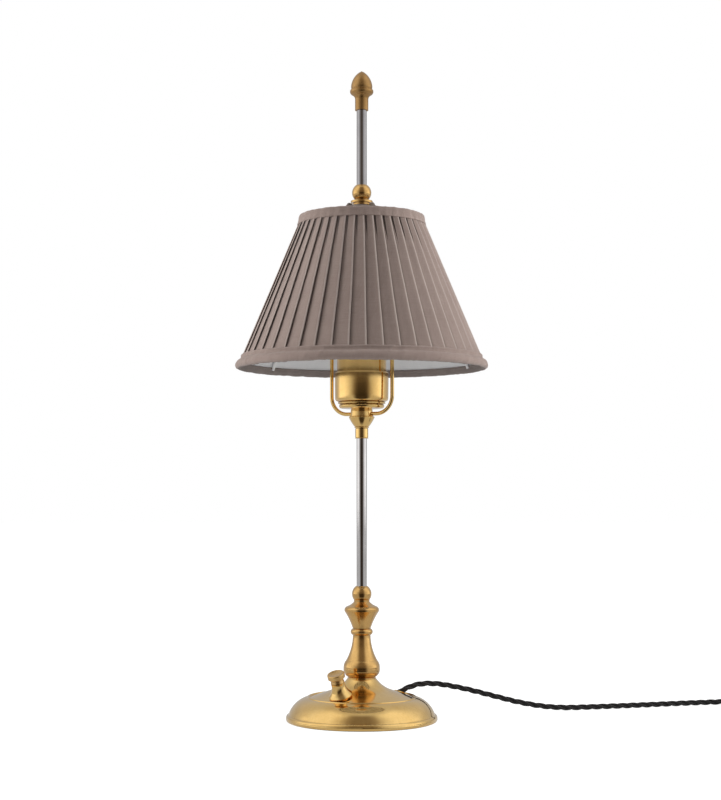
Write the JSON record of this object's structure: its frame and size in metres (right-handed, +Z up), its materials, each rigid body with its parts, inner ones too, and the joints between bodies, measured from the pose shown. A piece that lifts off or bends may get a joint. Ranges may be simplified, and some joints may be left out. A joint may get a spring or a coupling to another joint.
{
  "type": "bouillotte lamp",
  "caption": "Brass table lamp with a pleated empire shade on a screwed top stem, a wire harp round the bulb, a baluster, a rotary switch on the base and a twisted cord.",
  "frame": {"origin": "centre of the felt under the base, on the table", "axes": "+Z up along the stem; -Y towards the viewer, the side that shows the switch; the cord leaves towards +X"},
  "size_m": [0.5623, 0.2358, 0.5911],
  "materials": {
    "brass": "polished and lacquered",
    "brass_satin": "satin",
    "polished_steel": "polished",
    "steel_hardware": "plain",
    "iron": "as cast",
    "felt": "felt",
    "porcelain": "glazed",
    "black_plastic": "satin",
    "core_blue": "plain",
    "core_brown": "plain",
    "core_black": "plain",
    "core_green": "plain",
    "black_textile": "braided and twisted",
    "opal_glass": "opal",
    "cap_metal": "plain",
    "white_wire": "gloss white",
    "taupe_wire": "satin taupe",
    "white_lining": "matt white",
    "taupe_fabric": "woven, knife pleated"
  },
  "bodies": {
    "stand": {"base_shell": "brass", "base_felt": "felt", "base_weight": "iron", "base_nipple": "steel_hardware", "base_washer": "steel_hardware", "base_nut": "steel_hardware", "baluster": "brass", "lower_ball": "brass", "lower_tube": "polished_steel", "neck_sleeve": "brass", "harp_hub": "brass", "harp_arm_right": "brass", "harp_arm_left": "brass", "harp_top_hub": "brass", "shade_stud": "brass", "holder_nipple": "steel_hardware", "holder_nut": "steel_hardware", "holder_cup": "brass", "holder_shell": "brass", "holder_insert": "porcelain", "screw_shell": "brass", "centre_contact": "brass", "terminal_screws": "brass", "switch_body": "black_plastic", "switch_bush": "brass", "switch_nut": "brass", "switch_bell": "brass", "cord_bush": "brass", "cord_grip": "black_plastic", "lead_neutral": "core_blue", "lead_live": "core_brown", "lead_switched": "core_black", "lead_earth": "core_green", "cord": "black_textile", "cord_coil": "black_textile", "cord_tail": "black_textile", "plug_body": "black_plastic", "plug_pins": "steel_hardware"},
    "knob": {"switch_knob": "brass", "switch_spindle": "steel_hardware"},
    "bulb": {"bulb_glass": "opal_glass", "bulb_cap": "cap_metal", "bulb_contact": "cap_metal"},
    "shade": {"shade_spider": "taupe_wire", "shade_washer": "taupe_wire", "shade_top_ring": "white_wire", "shade_bottom_ring": "white_wire", "shade_struts": "white_wire", "shade_lining": "white_lining", "shade_pleats": "taupe_fabric", "shade_top_band": "taupe_fabric", "shade_bottom_trim": "taupe_fabric"},
    "top_stem": {"ball_nut": "brass", "upper_rod": "polished_steel", "finial_cup": "brass", "finial_acorn": "brass_satin"}
  },
  "joints": [
    {"name": "knob_turn", "type": "hinge", "parent": "stand", "child": "knob", "pos_m": [-0.0184, -0.02889, 0.02513], "axis": [-0.2013, -0.3159, 0.9272], "continuous": true},
    {"name": "bulb_turn", "type": "hinge", "parent": "stand", "child": "bulb", "pos_m": [0, 0, 0.32], "axis": [0, 0, 1], "continuous": true},
    {"name": "shade_turn", "type": "hinge", "parent": "stand", "child": "shade", "pos_m": [0, 0, 0.465], "axis": [0, 0, 1], "continuous": true},
    {"name": "stem_unscrew", "type": "hinge", "parent": "stand", "child": "top_stem", "pos_m": [0, 0, 0.47], "axis": [0, 0, 1], "continuous": true}
  ]
}
